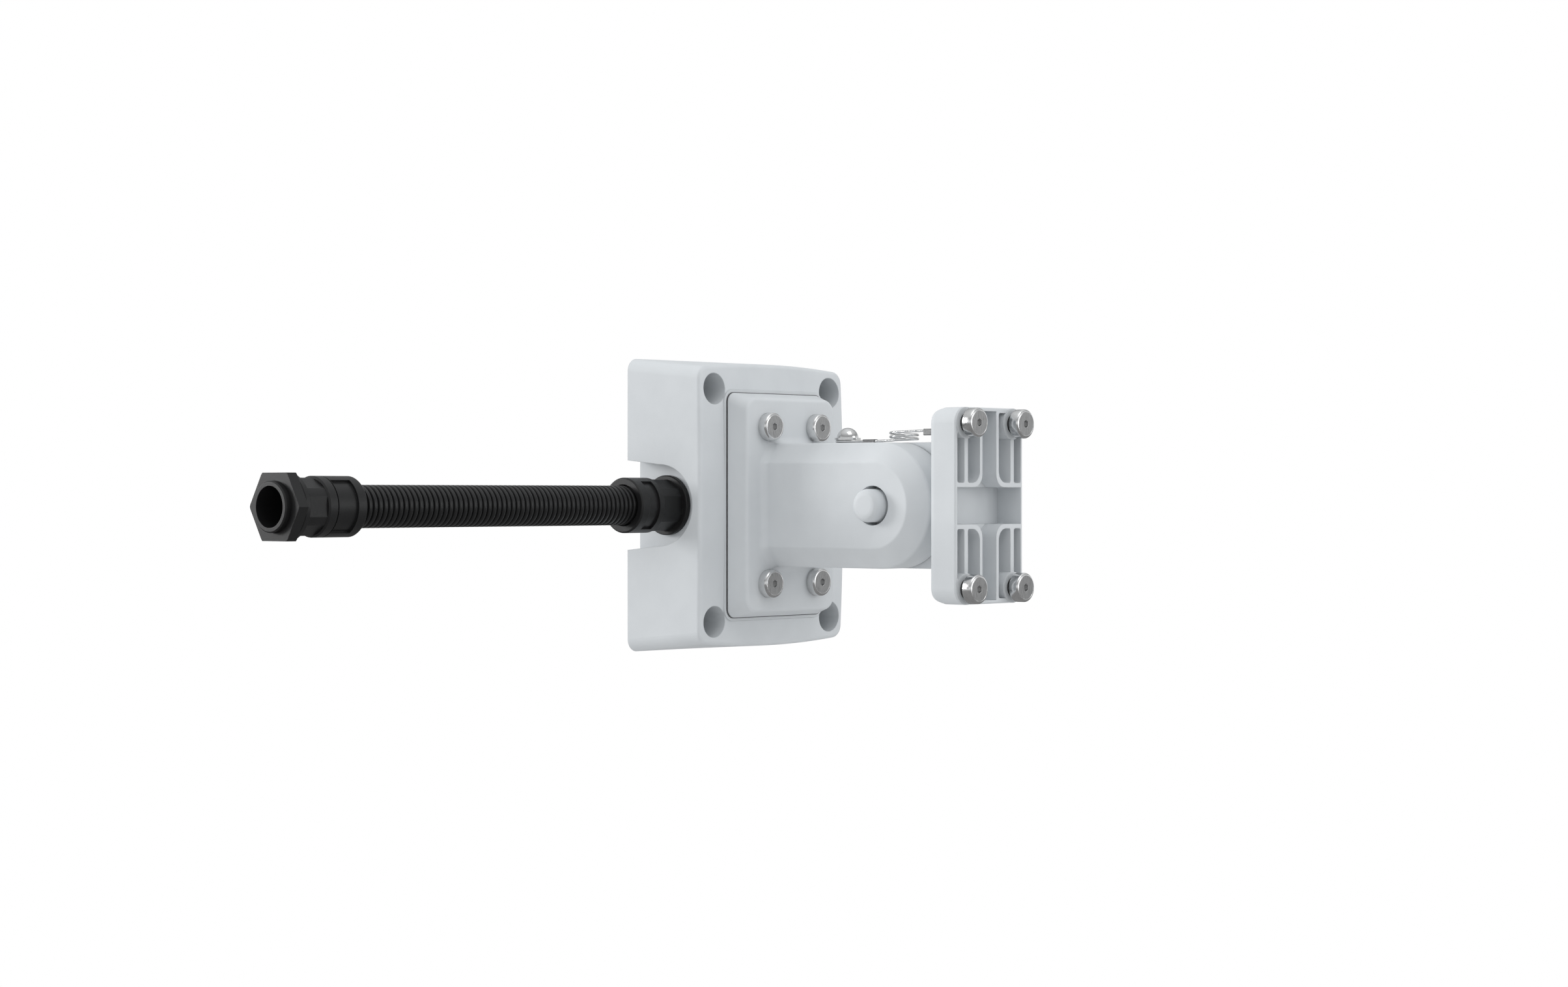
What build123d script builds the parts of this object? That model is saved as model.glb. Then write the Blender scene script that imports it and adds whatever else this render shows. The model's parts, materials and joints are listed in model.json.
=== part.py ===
from build123d import *
import math
import os

# Camera wall bracket: a cast wall box carries a flanged arm, a tilting camera plate and a cable conduit.
# Millimetres. The origin is the centre of the wall-screw pattern on the wall plane.
# +X runs right along the wall, -Y points out of the wall and +Z up.

# Wall box
box_depth = 48.5                # wall plane to the front face at its corners
box_front_half_width = 59.5
box_front_half_height = 75.0
box_top_rise = 3.0              # arch of the top and bottom edges of the front outline
box_side_bow = 1.0
box_rear_half_width = 65.4
box_rear_half_height = 80.8
box_corner_radius = 7.0
box_edge_radius = 2.2
box_wall = 4.5
box_front_wall = 6.0
front_bulge = 1.5               # how far the middle of the front stands proud of its corners
wall_hole_half_x = 48.0
wall_hole_half_z = 63.5
wall_hole_radius = 4.5
counterbore_radius = 8.6
counterbore_floor = 8.0         # metal left behind each counterbore
column_radius = 12.2

# Conduit niche in the left side of the box
conduit_y = -22.2               # conduit axis, measured from the wall
niche_radius = 22.3
niche_rear_half_height = 24.7
niche_wall_x = -55.6            # face that the conduit fitting is screwed to
niche_wall = 4.0

# Flange and its seat
seat_half_width = 41.0
seat_half_height = 63.5
gasket_thickness = 0.8
gasket_inset = 0.8
gasket_side_band = 12.0
gasket_end_band = 26.0
flange_base_half_width = 39.2
flange_base_half_height = 61.6
flange_front_half_width = 36.4
flange_front_half_height = 58.4
flange_base_corner = 5.0
flange_front_corner = 8.0
flange_thickness = 12.0
flange_edge_radius = 2.0

# Screw pattern shared by the flange and the camera plate
screw_half_x = 20.0
screw_half_z = 43.0
screw_thread_radius = 4.0
screw_head_radius = 7.7
screw_head_height = 5.7
screw_head_round = 1.0
screw_socket_flat = 5.0
screw_socket_depth = 2.5
thread_gap = 0.05
flange_screw_length = 24.0
boss_radius = 8.0
boss_depth = 14.0

# Arm section and pivot
arm_half_width = 23.1
arm_side_half_height = 23.0
arm_top_half_width = 16.0
arm_half_height = 33.7
arm_corner_radius = 2.0
arm_core_wall = 6.0
arm_core_depth = 44.0
root_fillet = 4.0
pivot_reach = 77.4              # flange front to pivot axis
lap_plane = 1.5
lap_gap = 0.6
swing_clearance = 0.7
shroud_reach = 18.0             # how far the lap walls stop short of the pivot
pivot_hole_radius = 6.0
running_gap = 0.05
pivot_recess_radius = 10.55
pivot_recess_depth = 9.0
pivot_head_radius = 8.85
pivot_head_proud = 7.6
pivot_dome_radius = 3.6
pivot_washer_radius = 9.8
pivot_washer_thickness = 1.6
pivot_nut_thread_depth = 9.0
disc_radius = 24.0
disc_thickness = 2.2

# Camera plate
plate_reach = 60.3              # pivot axis to the front of the plate
plate_thickness = 18.0
plate_half_width = 28.8
plate_half_height = 51.2
plate_corner_radius = 8.3
plate_back_round = 9.0
plate_side_round = 4.0
plate_front_bevel = 0.6
plate_boss_radius = 8.2
plate_boss_proud = 0.3
rib_depth = 12.5
channel_depth = 11.0
centre_depth = 15.5
centre_half_width = 27.2
centre_half_height = 9.6
cross_rib = 2.4
channel_half_width = 5.9
channel_half_height = 49.4
channel_rib = 2.2
channel_flare = 7.0
inner_pocket_end = 18.2
outer_pocket_start = 21.2
outer_pocket_end = 27.1
pocket_top = 48.6
pocket_corner = 1.2
camera_screw_gap = 3.0          # camera sheet slides in between head and boss
camera_screw_depth = 15.0
shoulder_radius = 5.1

# Tether
tether_screw_setback = 40.8     # flange front to the screw's axis
tether_wire_radius = 0.7
strand_gap = 0.02
tether_eye_radius = 6.0
tether_lift = 0.3               # the ferrule's wall holds the wire this far off the arm
tether_eye_taper = 12.0         # screw axis to the start of the first ferrule
tether_coil_radius = 7.4
tether_coil_pitch = 2.1
tether_coil_turns = 2
tether_coil_setback = 44.8      # coil axis to the back of the plate
tether_coil_rise = 0.4          # from the first straight run up to the start of the coil
tether_thread_radius = 3.0
tether_thread_length = 8.0
tether_dome_radius = 5.9
tether_dome_height = 5.6
tether_washer_radius = 7.1
tether_washer_thickness = 1.2
ferrule_length = 7.8
ferrule_wide = 3.5
ferrule_flat = 2.0
second_ferrule_setback = 24.9   # its near end to the back of the plate
lug_setback = 8.5               # lug hole to the back of the plate
lug_radius = 5.8
lug_thickness = 7.0
far_eye_radius = 4.1
far_screw_radius = 2.0
far_dome_radius = 5.2
far_dome_height = 3.4

# Conduit and its two fittings
conduit_visible = 191.3
conduit_outer_radius = 10.7
conduit_inner_radius = 8.6
conduit_insertion = 26.0
socket_radius = 10.9
cap_radius = 15.0
cap_length = 17.2
cap_lip_length = 2.5
cap_mouth_radius = 11.0
cap_bore_radius = 13.0
cap_edge = 0.8
nose_radius = 12.9
nose_length = 14.4
body_radius = 14.1
body_flat = 13.2                # axis to each of the six wrench flats
collar_radius = 16.4
collar_thickness = 3.2
collar_edge = 0.5
thread_radius = 12.5
thread_chamfer = 0.6
spigot_bore_radius = 10.1
locknut_flat = 16.45            # axis to flat
locknut_thickness = 5.7
locknut_chamfer_radius = 18.4
locknut_gap = 0.4
latch_groove_width = 1.7
latch_groove_depth = 0.9
latch_groove_reach = 10.1       # mouth to the middle of the groove
latch_slot_angle = 48.0
latch_slot_length = 7.3
latch_slot_width = 2.0
wall_fitting_body = 15.7
wall_fitting_spigot = 13.0
end_fitting_body = 12.4
end_fitting_shoulder = 5.3
end_fitting_spigot = 9.2
shoulder_gap = 1.6

# Places that follow from the sizes above
seat_y = -(box_depth + front_bulge)
flange_back_y = seat_y - gasket_thickness
flange_front_y = flange_back_y - flange_thickness
pivot_y = flange_front_y - pivot_reach
plate_front_y = pivot_y - plate_reach
plate_back_y = plate_front_y + plate_thickness
wall_arm_face = lap_plane - lap_gap / 2
camera_arm_face = lap_plane + lap_gap / 2
boss_face_y = plate_front_y - plate_boss_proud
recess_floor = arm_half_width - pivot_recess_depth
lap_radius = arm_half_height + swing_clearance
wall_mouth_x = niche_wall_x - collar_thickness - wall_fitting_body - cap_length
end_mouth_x = wall_mouth_x - conduit_visible
end_face_x = (end_mouth_x - cap_length - shoulder_gap - end_fitting_shoulder
              - end_fitting_body - collar_thickness)
wire_z = arm_half_height + tether_lift + tether_wire_radius
wire_side = 1.4 * tether_wire_radius
tether_screw_y = flange_front_y - tether_screw_setback
tether_coil_y = plate_back_y + tether_coil_setback
tether_coil_start_z = wire_z + tether_coil_rise
second_ferrule_y = plate_back_y + second_ferrule_setback
lug_y = plate_back_y + lug_setback
strand_offset = tether_wire_radius + strand_gap
coil_top_z = tether_coil_start_z + tether_coil_turns * tether_coil_pitch
far_strand_z = coil_top_z + 0.5
lug_z = far_strand_z - strand_offset
lug_face_x = -strand_offset + tether_wire_radius + 0.1


def save(name, shape):
    export_step(shape, f"parts/{name}.step")


def four_corners(half_x, half_z):
    return [(x, z) for z in (half_z, -half_z) for x in (-half_x, half_x)]


def on_front(y, shape):
    """A sketch drawn as seen from the front, set at depth y."""
    return Plane.XZ.offset(-y) * shape


def out_cylinder(radius, x, z, back_y, front_y):
    """A round bar along the outward direction, from back_y to front_y."""
    return extrude(on_front(back_y, Pos(x, z) * Circle(radius)), back_y - front_y)


def out_prism(sketch, back_y, front_y):
    return extrude(on_front(back_y, sketch), back_y - front_y)


def cross_bar(radius, start_x, end_x, y, z=0.0):
    """A round bar along X."""
    length = end_x - start_x
    return Pos((start_x + end_x) / 2, y, z) * Rot(0, 90, 0) * Cylinder(radius, length)


def turned(points, y, z=0.0):
    """A solid turned about the X axis through y and z, from (x, radius) points."""
    profile = make_face(Polyline(*[(x, r) for x, r in points], close=True))
    return Pos(0, y, z) * revolve(profile, Axis.X)


def outline(half_width, half_height, rise, bow, radius):
    """A rounded rectangle whose four edges bow outwards."""
    top_left = (-half_width, half_height)
    top_right = (half_width, half_height)
    low_right = (half_width, -half_height)
    low_left = (-half_width, -half_height)
    edges = Curve() + [
        ThreePointArc(top_left, (0, half_height + rise), top_right),
        ThreePointArc(top_right, (half_width + bow, 0), low_right),
        ThreePointArc(low_right, (0, -half_height - rise), low_left),
        ThreePointArc(low_left, (-half_width - bow, 0), top_left),
    ]
    face = make_face(edges)
    return fillet(face.vertices(), radius)


def box_loft(inset, front_y):
    """The drafted body of the box, inset all round, from the wall plane to front_y."""
    share = -front_y / box_depth
    front_half_width = box_rear_half_width + (box_front_half_width - box_rear_half_width) * share - inset
    front_half_height = box_rear_half_height + (box_front_half_height - box_rear_half_height) * share - inset
    radius = max(box_corner_radius - inset, 1.5)
    rear = on_front(0, outline(box_rear_half_width - inset, box_rear_half_height - inset, 0.2, 0.1, radius))
    rise = box_top_rise * share
    bow = box_side_bow * share
    front = on_front(front_y, outline(front_half_width, front_half_height, rise, bow, radius))
    return loft([rear, front], ruled=True)


def niche_profile(grow):
    """The niche seen along X: a half circle in front that opens towards the wall."""
    radius = niche_radius + grow
    rear = niche_rear_half_height + grow
    past_wall = 2.0
    top = (conduit_y, radius)
    low = (conduit_y, -radius)
    edges = Curve() + [
        ThreePointArc(top, (conduit_y - radius, 0), low),
        Line(low, (0, -rear)),
        Line((0, -rear), (past_wall, -rear)),
        Line((past_wall, -rear), (past_wall, rear)),
        Line((past_wall, rear), (0, rear)),
        Line((0, rear), top),
    ]
    return make_face(edges)


def niche_prism(grow, from_x, to_x):
    return extrude(Plane.YZ.offset(from_x) * niche_profile(grow), to_x - from_x)


def back_box():
    bulge_radius = box_front_half_height ** 2 / (2 * front_bulge) + front_bulge / 2
    front_most = -(box_depth + front_bulge)
    outer = box_loft(0.0, front_most)
    envelope = cross_bar(bulge_radius, -100, 100, front_most + bulge_radius)
    outer = outer & envelope
    front_edges = outer.edges().filter_by(lambda e: e.bounding_box().max.Y < -box_depth + 3.0)
    outer = fillet(front_edges, box_edge_radius)
    cavity = box_loft(box_wall, -(box_depth - box_front_wall))
    shell = outer - cavity
    columns = [out_cylinder(column_radius, x, z, 0, -box_depth)
               for x, z in four_corners(wall_hole_half_x, wall_hole_half_z)]
    bosses = [out_cylinder(boss_radius, x, z, seat_y + front_bulge + boss_depth, seat_y + 1.0)
              for x, z in four_corners(screw_half_x, screw_half_z)]
    liner = niche_prism(niche_wall, -100, niche_wall_x + niche_wall)
    seat = out_prism(RectangleRounded(2 * seat_half_width, 2 * seat_half_height, flange_base_corner + 2),
                     seat_y + 3.0, seat_y)
    inside = (Part() + columns + bosses + [liner]) & outer
    body = shell + inside + seat
    body -= niche_prism(0.0, -100, niche_wall_x)
    for x, z in four_corners(wall_hole_half_x, wall_hole_half_z):
        body -= out_cylinder(wall_hole_radius, x, z, 1, -20)
        body -= out_cylinder(counterbore_radius, x, z, -counterbore_floor, -60)
    for x, z in four_corners(screw_half_x, screw_half_z):
        body -= out_cylinder(screw_thread_radius + thread_gap, x, z, seat_y + boss_depth - 1.0, seat_y - 1)
    body -= cross_bar(thread_radius + thread_gap, niche_wall_x - 1, niche_wall_x + niche_wall + 1, conduit_y)
    return body


def flange_gasket():
    half_width = flange_base_half_width - gasket_inset
    half_height = flange_base_half_height - gasket_inset
    outer = RectangleRounded(2 * half_width, 2 * half_height, flange_base_corner)
    inner = Rectangle(2 * (half_width - gasket_side_band), 2 * (half_height - gasket_end_band))
    sheet = out_prism(outer - inner, seat_y, flange_back_y)
    for x, z in four_corners(screw_half_x, screw_half_z):
        sheet -= out_cylinder(screw_thread_radius + thread_gap, x, z, seat_y + 1, flange_back_y - 1)
    return sheet


def arm_section(left, right):
    """The eight-sided arm section, cut to the stretch from left to right."""
    points = [
        (-arm_half_width, -arm_side_half_height), (-arm_half_width, arm_side_half_height),
        (-arm_top_half_width, arm_half_height), (arm_top_half_width, arm_half_height),
        (arm_half_width, arm_side_half_height), (arm_half_width, -arm_side_half_height),
        (arm_top_half_width, -arm_half_height), (-arm_top_half_width, -arm_half_height),
    ]
    face = make_face(Polyline(*points, close=True))
    face = fillet(face.vertices(), arm_corner_radius)
    window = Pos((left + right) / 2, 0) * Rectangle(right - left, 4 * arm_half_height)
    return face & window


def knuckle(toward):
    """The rounded end of an arm: half a turn of the arm section about the pivot, on the side given by -1 or 1."""
    upper = arm_section(-arm_half_width, arm_half_width) & Pos(0, arm_half_height) * Rectangle(
        2 * arm_half_width + 2, 2 * arm_half_height)
    start = Rot(90, 0, 0) * upper
    return Pos(0, pivot_y, 0) * revolve(start, Axis.X, toward * 180)


def flange():
    base = on_front(flange_back_y, RectangleRounded(
        2 * flange_base_half_width, 2 * flange_base_half_height, flange_base_corner))
    front = on_front(flange_front_y, RectangleRounded(
        2 * flange_front_half_width, 2 * flange_front_half_height, flange_front_corner))
    plate = loft([base, front], ruled=True)
    front_edges = plate.edges().filter_by(lambda e: e.bounding_box().max.Y < flange_front_y + 0.01)
    return fillet(front_edges, flange_edge_radius)


def pivot_cut(side):
    """The bolt hole and the round recess on the side given by -1 or 1."""
    hole = cross_bar(pivot_hole_radius + running_gap, -arm_half_width - 1, arm_half_width + 1, pivot_y)
    start = recess_floor if side > 0 else -arm_half_width - 1
    end = arm_half_width + 1 if side > 0 else -recess_floor
    return hole + cross_bar(pivot_recess_radius, start, end, pivot_y)


def disc_seat():
    return cross_bar(disc_radius + 0.3, lap_plane - disc_thickness / 2, lap_plane + disc_thickness / 2, pivot_y)


def wall_arm():
    bar = out_prism(arm_section(-arm_half_width, arm_half_width), flange_front_y + 2, pivot_y)
    body = flange() + bar
    root_edges = body.edges().filter_by(
        lambda e: abs(e.bounding_box().min.Y - flange_front_y) < 0.01
        and abs(e.bounding_box().max.Y - flange_front_y) < 0.01
        and e.bounding_box().max.X < arm_half_width + 0.5
        and e.bounding_box().min.X > -arm_half_width - 0.5)
    body = fillet(root_edges, root_fillet)
    body += knuckle(1)
    far = 2 * arm_half_height
    lap_start = pivot_y + shroud_reach
    lap = Pos(wall_arm_face + far / 2, lap_start - far, 0) * Box(far, 2 * far, 2 * far)
    lap += cross_bar(lap_radius, wall_arm_face, wall_arm_face + far, pivot_y)
    body -= lap
    core_half_width = arm_top_half_width - arm_core_wall / 2
    core_half_height = arm_half_height - arm_core_wall
    body -= out_prism(RectangleRounded(2 * core_half_width, 2 * core_half_height, 4.0),
                      flange_back_y + 1, flange_back_y - arm_core_depth)
    body -= pivot_cut(-1)
    body -= disc_seat()
    for x, z in four_corners(screw_half_x, screw_half_z):
        body -= out_cylinder(screw_thread_radius + thread_gap, x, z, flange_back_y + 1, flange_front_y - 1)
        body -= out_cylinder(screw_head_radius + 0.4, x, z, flange_front_y, flange_front_y - 20)
    body -= Pos(0, tether_screw_y, arm_half_height) * Cylinder(
        tether_thread_radius + thread_gap, 2 * tether_thread_length)
    return body


def head_screw(length, shoulder=0.0):
    """A screw with its head's seat at the origin, head towards -Y and thread towards +Y.

    The shoulder is a thicker collar under the head, as long as given.
    """
    head = extrude(Plane.XZ * Circle(screw_head_radius), screw_head_height)
    rim = head.edges().filter_by(lambda e: e.bounding_box().max.Y < -screw_head_height + 0.01)
    head = chamfer(rim, screw_head_round)
    socket_radius_out = screw_socket_flat / 2 / math.cos(math.radians(30))
    socket = out_prism(RegularPolygon(socket_radius_out, 6), -screw_head_height + screw_socket_depth,
                       -screw_head_height - 1)
    thread = out_cylinder(screw_thread_radius, 0, 0, length, 0)
    screw = head + thread - socket
    if shoulder:
        screw += out_cylinder(shoulder_radius, 0, 0, shoulder, 0)
    return screw


def domed_head(seat_x, end_x):
    """A round head with a bevelled dome at end_x, turned about the pivot axis."""
    toward = 1 if end_x > seat_x else -1
    steps = [(seat_x, 0), (seat_x, pivot_head_radius)]
    for angle in (0, 30, 60, 90):
        drop = pivot_dome_radius * (1 - math.sin(math.radians(angle)))
        inset = pivot_dome_radius * (1 - math.cos(math.radians(angle)))
        steps.append((end_x - toward * drop, pivot_head_radius - inset))
    steps.append((end_x, 0))
    return turned(steps, pivot_y)


def pivot_bolt():
    thread_end = recess_floor + pivot_washer_thickness + pivot_nut_thread_depth - 0.5
    head = domed_head(-recess_floor, -arm_half_width - pivot_head_proud)
    return head + cross_bar(pivot_hole_radius, -recess_floor, thread_end, pivot_y)


def pivot_nut():
    start = recess_floor + pivot_washer_thickness
    nut = domed_head(start, arm_half_width + pivot_head_proud)
    return nut - cross_bar(pivot_hole_radius + thread_gap, start - 1, start + pivot_nut_thread_depth, pivot_y)


def pivot_washer():
    start = recess_floor
    end = start + pivot_washer_thickness
    ring = cross_bar(pivot_washer_radius, start, end, pivot_y)
    return ring - cross_bar(pivot_hole_radius + running_gap, start - 1, end + 1, pivot_y)


def friction_disc():
    start = lap_plane - disc_thickness / 2
    end = lap_plane + disc_thickness / 2
    ring = cross_bar(disc_radius, start, end, pivot_y)
    return ring - cross_bar(pivot_hole_radius + running_gap, start - 1, end + 1, pivot_y)


def plate_blank():
    blank = out_prism(RectangleRounded(2 * plate_half_width, 2 * plate_half_height, plate_corner_radius),
                      plate_back_y, plate_front_y)
    back_edges = blank.edges().filter_by(lambda e: e.bounding_box().min.Y > plate_back_y - 0.01)
    blank = fillet(back_edges, plate_side_round)
    tool = Pos(0, (plate_back_y + plate_front_y) / 2, 0) * Box(
        4 * plate_half_width, plate_thickness, 2 * plate_half_height)
    long_edges = tool.edges().filter_by(Axis.X).filter_by(lambda e: e.center().Y > plate_back_y - 0.01)
    tool = fillet(long_edges, plate_back_round)
    blank = blank & tool
    front_edges = blank.edges().filter_by(lambda e: e.bounding_box().max.Y < plate_front_y + 0.01)
    return chamfer(front_edges, plate_front_bevel)


def block(x1, x2, z1, z2, radius):
    """A rounded rectangle from x1 to x2 and z1 to z2, as seen from the front."""
    return Pos((x1 + x2) / 2, (z1 + z2) / 2) * RectangleRounded(x2 - x1, z2 - z1, radius)


def inner_pocket():
    """The wide pocket beside the channel, with its large lower inner corner."""
    start_z = centre_half_height + cross_rib
    x1 = channel_half_width + channel_rib
    base = Pos((x1 + inner_pocket_end) / 2, (start_z + pocket_top) / 2) * Rectangle(
        inner_pocket_end - x1, pocket_top - start_z)
    corner = base.vertices().sort_by(Axis.X)[:2].sort_by(Axis.Y)[0]
    shape = fillet(corner, channel_flare - 0.8)
    rest = [v for v in shape.vertices() if v.Y > pocket_top - 1 or v.X > inner_pocket_end - 0.1]
    return fillet(rest, pocket_corner)


def rib_pockets():
    """The pockets of one quarter of the plate, clear of the screw boss."""
    start_z = centre_half_height + cross_rib
    boss = Pos(screw_half_x, screw_half_z) * Circle(plate_boss_radius)
    outer = block(outer_pocket_start, outer_pocket_end, start_z, screw_half_z - 5.0, pocket_corner)
    return [inner_pocket() - boss, outer - boss]


def plate_cuts():
    cuts = []
    for pocket in rib_pockets():
        solid = out_prism(pocket, plate_front_y + rib_depth, plate_front_y - 1)
        mirrored = mirror(solid, Plane.YZ)
        cuts += [solid, mirrored, mirror(solid, Plane.XY), mirror(mirrored, Plane.XY)]
    centre = Rectangle(2 * centre_half_width, 2 * centre_half_height)
    cross = centre + Rectangle(2 * channel_half_width, 2 * channel_half_height)
    inner = [v for v in cross.vertices() if abs(v.X) < channel_half_width + 0.1 and abs(v.Y) < pocket_top / 2]
    cross = fillet(inner, channel_flare)
    cuts.append(out_prism(cross, plate_front_y + channel_depth, plate_front_y - 1))
    deep = RectangleRounded(2 * centre_half_width, 2 * centre_half_height, pocket_corner)
    cuts.append(out_prism(deep, plate_front_y + centre_depth, plate_front_y - 1))
    return cuts


def tether_lug():
    """The ear on top of the camera arm that holds the far end of the tether."""
    ear = cross_bar(lug_radius, lug_face_x, lug_face_x + lug_thickness, lug_y, lug_z)
    top = lug_z + 1.0
    bottom = arm_half_height - 2.0
    front = plate_back_y - 1.0
    back = lug_y + lug_radius * 0.7
    foot = Pos(lug_face_x + lug_thickness / 2, (front + back) / 2, (top + bottom) / 2) * Box(
        lug_thickness, back - front, top - bottom)
    return ear + foot


def camera_arm():
    bar = out_prism(arm_section(-arm_half_width, arm_half_width), pivot_y, plate_back_y - 4)
    far = 4 * arm_half_height
    body = bar + knuckle(-1)
    body -= Pos(camera_arm_face - far / 2, pivot_y, 0) * Box(far, 2 * far, far)
    body += plate_blank()
    root_edges = body.edges().filter_by(
        lambda e: abs(e.bounding_box().min.Y - plate_back_y) < 0.01
        and abs(e.bounding_box().max.Y - plate_back_y) < 0.01
        and e.bounding_box().size.length > 1.0
        and abs(e.center().X) < arm_half_width + 0.1 and abs(e.center().Z) < arm_half_height + 0.1)
    body = fillet(root_edges, root_fillet - 1.0)
    body += tether_lug()
    for cut in plate_cuts():
        body -= cut
    for x, z in four_corners(screw_half_x, screw_half_z):
        body += out_cylinder(plate_boss_radius, x, z, plate_front_y + rib_depth, boss_face_y)
    for x, z in four_corners(screw_half_x, screw_half_z):
        body -= out_cylinder(screw_thread_radius + thread_gap, x, z, plate_back_y + 1, boss_face_y - 1)
    body -= pivot_cut(1)
    body -= disc_seat()
    body -= cross_bar(far_screw_radius + thread_gap, lug_face_x - 1, lug_face_x + lug_thickness + 1, lug_y, lug_z)
    return max(body.solids(), key=lambda piece: piece.volume)


def dome_screw(thread_radius_here, thread_length, dome_radius, dome_height):
    """A dome-headed screw standing on its seat at the origin, head towards +Z."""
    sphere_radius = (dome_radius ** 2 + dome_height ** 2) / (2 * dome_height)
    head = Pos(0, 0, dome_height - sphere_radius) * Sphere(sphere_radius)
    head = head & Pos(0, 0, dome_height / 2) * Cylinder(dome_radius, dome_height)
    return head + Pos(0, 0, -thread_length / 2) * Cylinder(thread_radius_here, thread_length)


def eye(strand_in, strand_out, centre, radius, side, forward):
    """An open loop round the centre, from the end of one strand back to the other."""
    taper = math.radians(30)

    def point(angle):
        return centre + side * (radius * math.cos(angle)) + forward * (radius * math.sin(angle))

    def heading(angle):
        return forward * math.cos(angle) - side * math.sin(angle)

    first = -taper
    last = math.pi + taper
    return [Spline(strand_in, point(first), tangents=[forward, heading(first)]),
            ThreePointArc(point(first), point(math.pi / 2), point(last)),
            Spline(point(last), strand_out, tangents=[heading(last), forward * -1])]


def tether_path():
    """The centre line of the tether: an eye, a straight run, the coil, a straight run and an eye."""
    near = tether_screw_y - tether_eye_taper
    near_end = near - ferrule_length
    far = second_ferrule_y
    far_end = far - ferrule_length
    side = -strand_offset
    low_z = lug_z - strand_offset
    rise = tether_coil_pitch / (2 * math.pi * tether_coil_radius)
    inward = Vector(0, 1, 0)
    outward = Vector(0, -1, 0)
    near_tail = Line((strand_offset, near_end + 0.5, wire_z), (strand_offset, near, wire_z))
    near_eye = eye(Vector(strand_offset, near, wire_z), Vector(side, near, wire_z),
                   Vector(0, tether_screw_y, wire_z), tether_eye_radius, Vector(1, 0, 0), inward)
    near_run = Line((side, near, wire_z), (side, near_end, wire_z))
    run_in = Spline((side, near_end, wire_z), (side, tether_coil_y, tether_coil_start_z),
                    tangents=[outward, (0, -1, rise)])
    helix = Helix(tether_coil_pitch, tether_coil_turns * tether_coil_pitch, tether_coil_radius)
    coil = Pos(side + tether_coil_radius, tether_coil_y, tether_coil_start_z) * Rot(0, 0, 180) * helix
    run_out = Spline((side, tether_coil_y, coil_top_z), (side, far, far_strand_z),
                     tangents=[(0, -1, rise), outward])
    far_run = Line((side, far, far_strand_z), (side, far_end, far_strand_z))
    far_eye = eye(Vector(side, far_end, far_strand_z), Vector(side, far_end, low_z),
                  Vector(side, lug_y, lug_z), far_eye_radius, Vector(0, 0, 1), outward)
    far_tail = Line((side, far_end, low_z), (side, far - 0.5, low_z))
    return [near_tail] + near_eye + [near_run, run_in, coil, run_out, far_run] + far_eye + [far_tail]


def tether_wire():
    """The wire with a square section, which keeps its many bends light."""
    path = Wire(tether_path())
    section = Plane(origin=path @ 0, z_dir=path % 0) * Rectangle(wire_side, wire_side)
    return sweep(section, path=path)


def ferrule(start_y, x, z, wide, flat, turn, wire_offset):
    """A crimped sleeve along Y with one slot for both strands of the wire, turned about Y."""
    middle = Pos(x, start_y - ferrule_length / 2, z) * Rot(0, turn, 0)
    body = Box(wide, ferrule_length, flat)
    body = chamfer(body.edges().filter_by(Axis.Y), 0.4)
    slot = Rot(90, 0, 0) * SlotCenterToCenter(2 * strand_offset, 2 * (tether_wire_radius + strand_gap))
    body -= Pos(0, ferrule_length, wire_offset) * extrude(slot, 2 * ferrule_length)
    return middle * body


def first_ferrule():
    middle_z = arm_half_height + ferrule_flat / 2
    return ferrule(tether_screw_y - tether_eye_taper, 0, middle_z, ferrule_wide, ferrule_flat, 0, wire_z - middle_z)


def second_ferrule():
    return ferrule(second_ferrule_y, -strand_offset, lug_z, ferrule_wide, ferrule_flat, 90, 0)


def tether_screw():
    screw = dome_screw(tether_thread_radius, tether_thread_length, tether_dome_radius, tether_dome_height)
    slack = tether_lift + 2 * tether_wire_radius + tether_washer_thickness
    screw += Pos(0, 0, -slack / 2) * Cylinder(tether_thread_radius, 2 * slack)
    return Pos(0, tether_screw_y, arm_half_height + slack) * screw


def tether_washer():
    bottom = arm_half_height + tether_lift + 2 * tether_wire_radius
    middle = Pos(0, tether_screw_y, bottom + tether_washer_thickness / 2)
    ring = middle * Cylinder(tether_washer_radius, tether_washer_thickness)
    return ring - middle * Cylinder(tether_thread_radius + thread_gap, 2 * tether_washer_thickness)


def far_screw():
    screw = dome_screw(far_screw_radius, lug_thickness, far_dome_radius, far_dome_height)
    seat_x = -strand_offset - tether_wire_radius - 0.05
    return Pos(seat_x, lug_y, lug_z) * Rot(0, -90, 0) * screw


def mirrored_x(points, face_x, toward):
    return [(face_x + toward * d, r) for d, r in points]


def hexagon_bar(apothem, start_x, end_x, turn):
    section = Rot(0, 0, turn) * RegularPolygon(apothem, 6, major_radius=False)
    low = min(start_x, end_x)
    return extrude(Plane.YZ.offset(low) * Pos(conduit_y, 0) * section, abs(end_x - start_x))


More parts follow.
